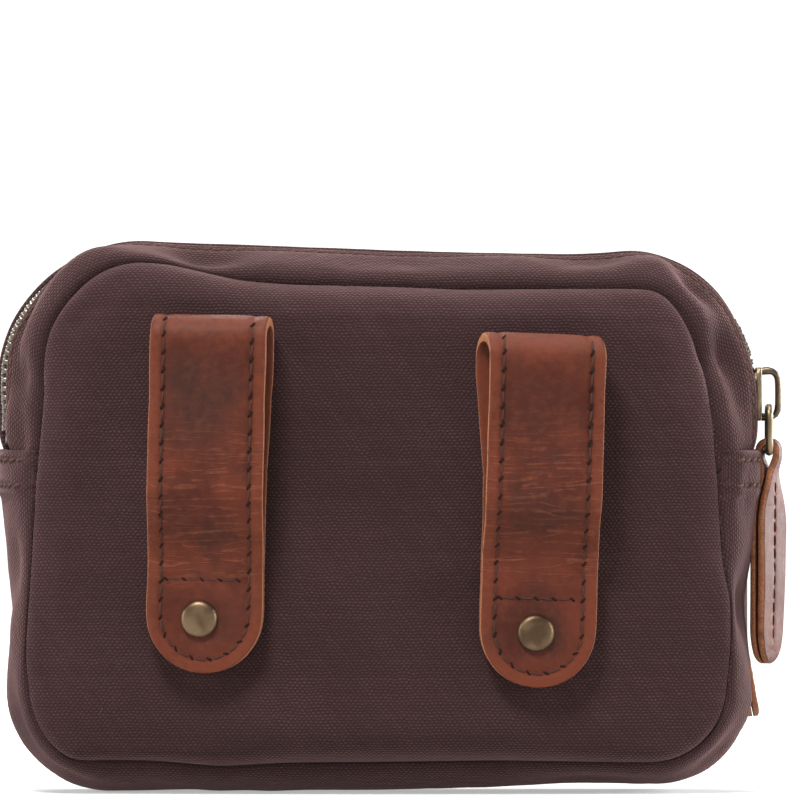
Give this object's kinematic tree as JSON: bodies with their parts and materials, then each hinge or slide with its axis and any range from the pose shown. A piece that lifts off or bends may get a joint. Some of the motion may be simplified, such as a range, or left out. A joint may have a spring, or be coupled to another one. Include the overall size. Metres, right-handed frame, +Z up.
{
  "type": "zippered belt pouch",
  "caption": "Upright canvas pouch with a curved zip over its top, a zipped front pocket and two riveted leather belt loops behind.",
  "frame": {"origin": "middle of the flat base that the pouch stands on", "axes": "+Z up, +X to the right as seen from the belt side, -Y out of the belt side, +Y out of the front pocket side"},
  "size_m": [0.1685, 0.0719, 0.117],
  "materials": {
    "canvas": "plum-brown cotton duck with a matt plain weave",
    "lining": "thin matt poplin",
    "zip_tape": "dark woven zip tape",
    "leather": "red-brown oiled pull-up leather with a low sheen",
    "antique_brass": "dark antique plating worn on its edges",
    "nickel": "dull nickel"
  },
  "bodies": {
    "root": {"back_panel": "canvas", "lower_gusset": "canvas", "back_zip_strip": "canvas", "back_lining": "lining", "gusset_lining": "lining", "pocket_backing": "lining", "front_pocket_panel": "canvas", "back_zip_tape": "zip_tape", "back_zip_teeth": "antique_brass", "pocket_zip_tape_lower": "zip_tape", "pocket_zip_tape_upper": "zip_tape", "pocket_zip_teeth_lower": "antique_brass", "pocket_zip_teeth_upper": "antique_brass", "main_zip_bottom_stop": "nickel", "main_zip_top_stop_back": "nickel", "pocket_zip_bottom_stop": "nickel", "belt_loop_left": "leather", "belt_loop_right": "leather", "rivet_cap_left": "antique_brass", "rivet_cap_right": "antique_brass", "rivet_post_left": "antique_brass", "rivet_post_right": "antique_brass"},
    "front_flap": {"front_panel_upper": "canvas", "front_zip_strip": "canvas", "front_zip_tape": "zip_tape", "front_zip_teeth": "antique_brass", "front_lining_upper": "lining", "main_zip_top_stop_front": "nickel"},
    "main_slider": {"slider_body": "antique_brass", "slider_crown": "antique_brass"},
    "main_ring": {"pull_ring": "antique_brass"},
    "main_tab": {"pull_tab": "leather"},
    "pocket_slider": {"pocket_slider_body": "antique_brass", "pocket_slider_crown": "antique_brass"},
    "pocket_ring": {"pocket_pull_ring": "antique_brass"},
    "pocket_tab": {"pocket_pull_tab": "leather"}
  },
  "joints": [
    {"name": "mouth_open", "type": "hinge", "parent": "root", "child": "front_flap", "pos_m": [0, 0.0205, 0.0753], "axis": [-1, 0, 0], "range_deg": [0, 40]},
    {"name": "main_slider_travel", "type": "hinge", "parent": "root", "child": "main_slider", "pos_m": [0.0506, 0, 0.0861], "axis": [0, -1, 0], "range_deg": [0, 90]},
    {"name": "main_ring_swing", "type": "hinge", "parent": "main_slider", "child": "main_ring", "pos_m": [0.0843, 0, 0.0832], "axis": [0, -1, 0], "range_deg": [0, 130]},
    {"name": "main_tab_swing", "type": "hinge", "parent": "main_ring", "child": "main_tab", "pos_m": [0.0843, 0, 0.0735], "axis": [0, -1, 0], "range_deg": [0, 50]},
    {"name": "pocket_slider_travel", "type": "slide", "parent": "root", "child": "pocket_slider", "axis": [-1, 0, 0], "range_m": [0, 0.13]},
    {"name": "pocket_ring_swing", "type": "hinge", "parent": "pocket_slider", "child": "pocket_ring", "pos_m": [0.0717, 0.0253, 0.0685], "axis": [1, 0, 0], "range_deg": [0, 90]},
    {"name": "pocket_tab_swing", "type": "hinge", "parent": "pocket_ring", "child": "pocket_tab", "pos_m": [0.0746, 0.0279, 0.0612], "axis": [0, 1, 0], "range_deg": [-35, 35]}
  ]
}
